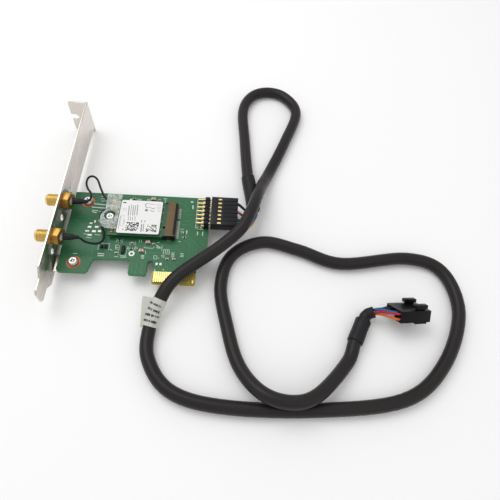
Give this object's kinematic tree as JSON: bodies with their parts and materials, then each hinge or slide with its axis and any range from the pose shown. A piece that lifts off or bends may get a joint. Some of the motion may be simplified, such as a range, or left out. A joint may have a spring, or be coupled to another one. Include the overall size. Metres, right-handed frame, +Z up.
{
  "type": "wifi adapter card",
  "caption": "Wireless adapter card: a radio module in a socket on a green board with a tall steel slot bracket, two gold antenna jacks and a black sheathed cable with plugs.",
  "frame": {"origin": "Under the middle of the card in plan, on the surface it lies on; the cable and its plugs are left out.", "axes": "+X from the bracket to the header plug, +Y from the edge contacts to the folded top of the bracket, +Z up away from the surface."},
  "size_m": [0.2155, 0.2104, 0.0216],
  "materials": {
    "plated_steel": "satin",
    "nickel_screw": "polished",
    "green_board": "satin",
    "module_board": "satin",
    "gold_contact": "polished",
    "bare_copper": "satin",
    "jack_brass": "polished",
    "white_insulator": "matte",
    "tinned_metal": "satin",
    "lead_sleeve": "satin",
    "antenna_lead": "gloss",
    "lead_plug": "satin",
    "paper_label": "matte",
    "wrap_label": "satin",
    "chip_tan": "satin",
    "chip_black": "satin",
    "clear_film": "gloss",
    "socket_brown": "satin",
    "header_black": "satin",
    "plug_black": "satin",
    "wire_colors": "satin",
    "shrink_sleeve": "satin",
    "cable_sheath": "satin",
    "tail_black": "satin"
  },
  "bodies": {
    "root": {"bracket": "plated_steel", "bracket_screws": "nickel_screw", "adapter_board": "green_board", "edge_contacts": "gold_contact", "board_pads": "tinned_metal", "copper_rings": "bare_copper", "upper_jack_body": "jack_brass", "lower_jack_body": "jack_brass", "jack_insulators": "white_insulator", "jack_contacts": "gold_contact", "lead_ferrules": "tinned_metal", "lead_sleeves": "lead_sleeve", "upper_antenna_lead": "antenna_lead", "lower_antenna_lead": "antenna_lead", "lead_plugs": "lead_plug", "module_jacks": "gold_contact", "module_board": "module_board", "module_shield": "tinned_metal", "module_label": "paper_label", "module_parts": "chip_tan", "module_standoff": "tinned_metal", "module_screw": "nickel_screw", "clear_film": "clear_film", "module_socket": "socket_brown", "socket_contacts": "tinned_metal", "header_strip": "header_black", "header_pins": "gold_contact", "large_capacitors": "chip_tan", "small_capacitors": "chip_tan", "resistors": "chip_black", "transistors": "chip_black", "plug_housing": "plug_black", "plug_terminals": "gold_contact", "plug_wires": "wire_colors", "plug_sleeve": "shrink_sleeve", "cable_sheath": "cable_sheath", "cable_label": "wrap_label", "tail_sleeve": "shrink_sleeve", "tail_inner_sleeve": "shrink_sleeve", "tail_wires": "wire_colors", "tail_housing": "tail_black", "tail_terminals": "gold_contact"}
  },
  "joints": []
}
